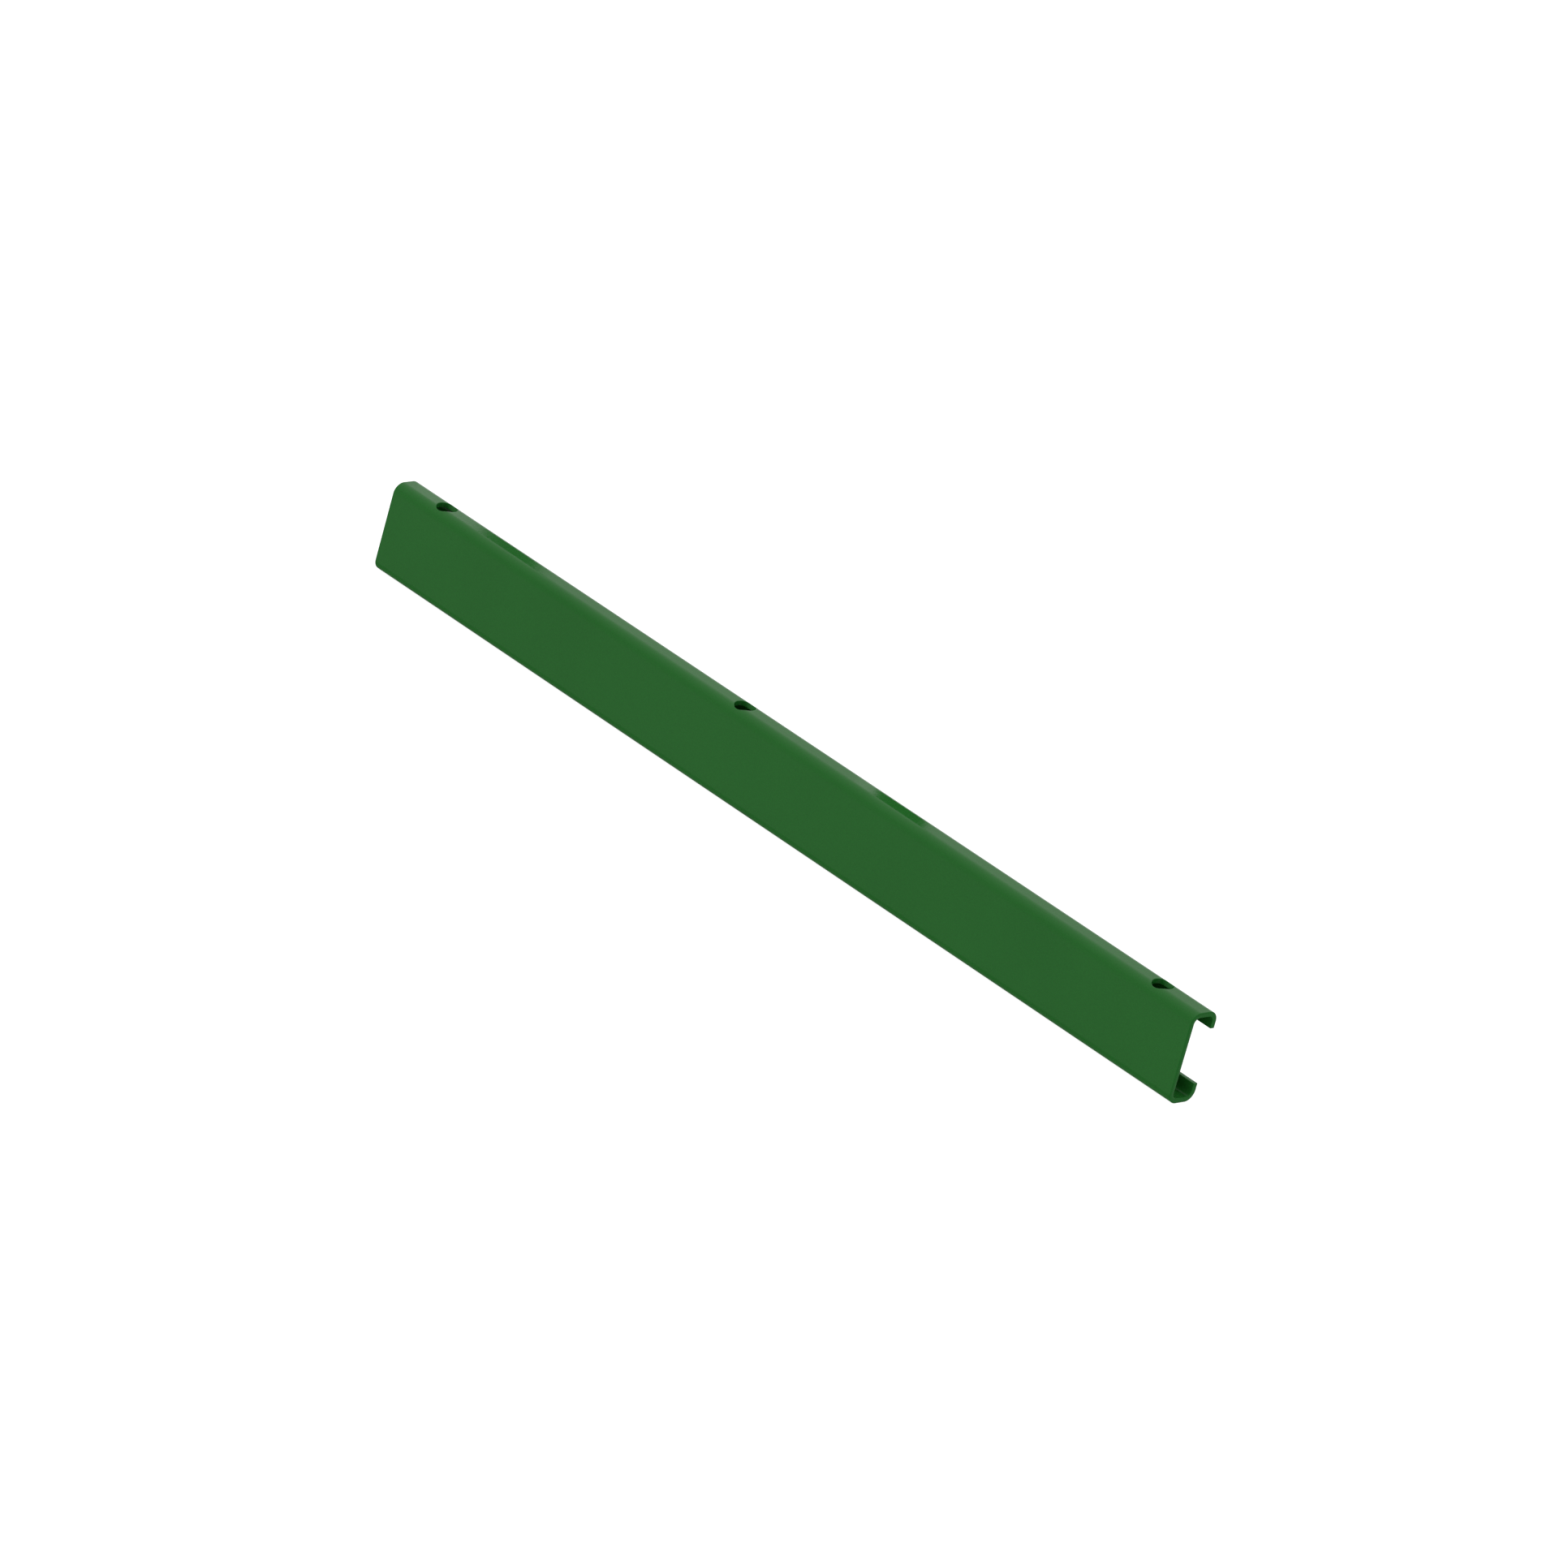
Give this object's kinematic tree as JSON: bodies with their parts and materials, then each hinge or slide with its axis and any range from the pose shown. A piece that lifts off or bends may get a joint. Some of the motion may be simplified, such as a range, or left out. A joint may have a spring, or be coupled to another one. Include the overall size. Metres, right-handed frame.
{
  "type": "straight slide rail",
  "caption": "Straight rail of folded sheet steel: a channel with inturned lips along its open side and bolt holes through one flange, for fixing a straight slide.",
  "frame": {"origin": "underside of the lower flange, midway along the rail and midway across the flange", "axes": "+X along the rail, the web faces -Y, the open side faces +Y, the flange with the holes is on top at +Z"},
  "size_m": [0.619, 0.0186, 0.0508],
  "materials": {
    "green_powder_coat": "semi-gloss powder coat on steel sheet"
  },
  "bodies": {
    "root": {"slide_rail": "green_powder_coat"}
  },
  "joints": []
}
